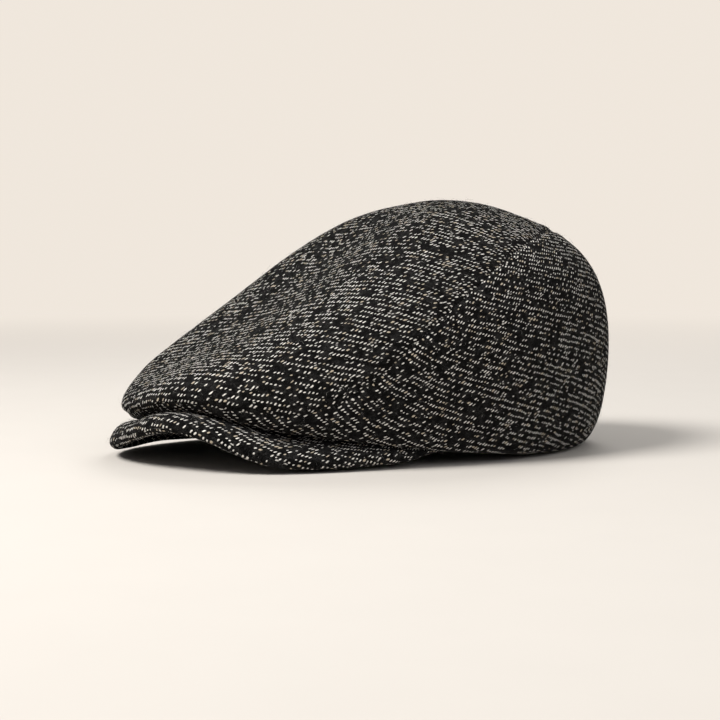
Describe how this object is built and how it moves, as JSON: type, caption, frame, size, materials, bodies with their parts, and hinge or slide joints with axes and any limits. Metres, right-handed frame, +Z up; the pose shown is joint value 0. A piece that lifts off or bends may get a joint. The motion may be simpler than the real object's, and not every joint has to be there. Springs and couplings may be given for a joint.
{
  "type": "newsboy cap",
  "caption": "A tweed flat cap in the duckbill shape: a top panel and two side panels over a padded, arched visor, with a lining and a sweatband round the head opening.",
  "frame": {"origin": "The middle of the cap's bounding box in X and Y, on the surface that the cap rests on.", "axes": "-Y is the front, where the visor points. +X is the wearer's left. +Z is up from the surface. The cap lies as it does on a flat top, on both sides of its visor and on the back of its crown."},
  "size_m": [0.1862, 0.286, 0.1342],
  "materials": {
    "tweed": "woollen tweed, near black with off-white flecks in rows",
    "thread": "matt sewing thread",
    "lining": "satin lining with a low sheen",
    "interlining": "stiff felted interlining",
    "label": "blank woven label",
    "board": "stiff visor board",
    "padding": "soft wadding",
    "sweatband": "brushed cotton band"
  },
  "bodies": {
    "root": {"top_panel": "tweed", "side_panel_left": "tweed", "side_panel_right": "tweed", "crown_seam_thread": "thread", "back_seam_thread": "thread", "front_seam_thread": "thread", "crown_seam_tape": "lining", "top_interlining": "interlining", "side_interlining_left": "interlining", "side_interlining_right": "interlining", "lining_top": "lining", "lining_side_left": "lining", "lining_side_right": "lining", "lining_label": "label", "visor_top_cover": "tweed", "visor_under_cover": "tweed", "visor_board": "board", "visor_padding": "padding", "visor_edge_thread": "thread", "visor_seam_thread": "thread", "sweatband": "sweatband", "sweatband_thread": "thread", "size_tab": "label"}
  },
  "joints": []
}
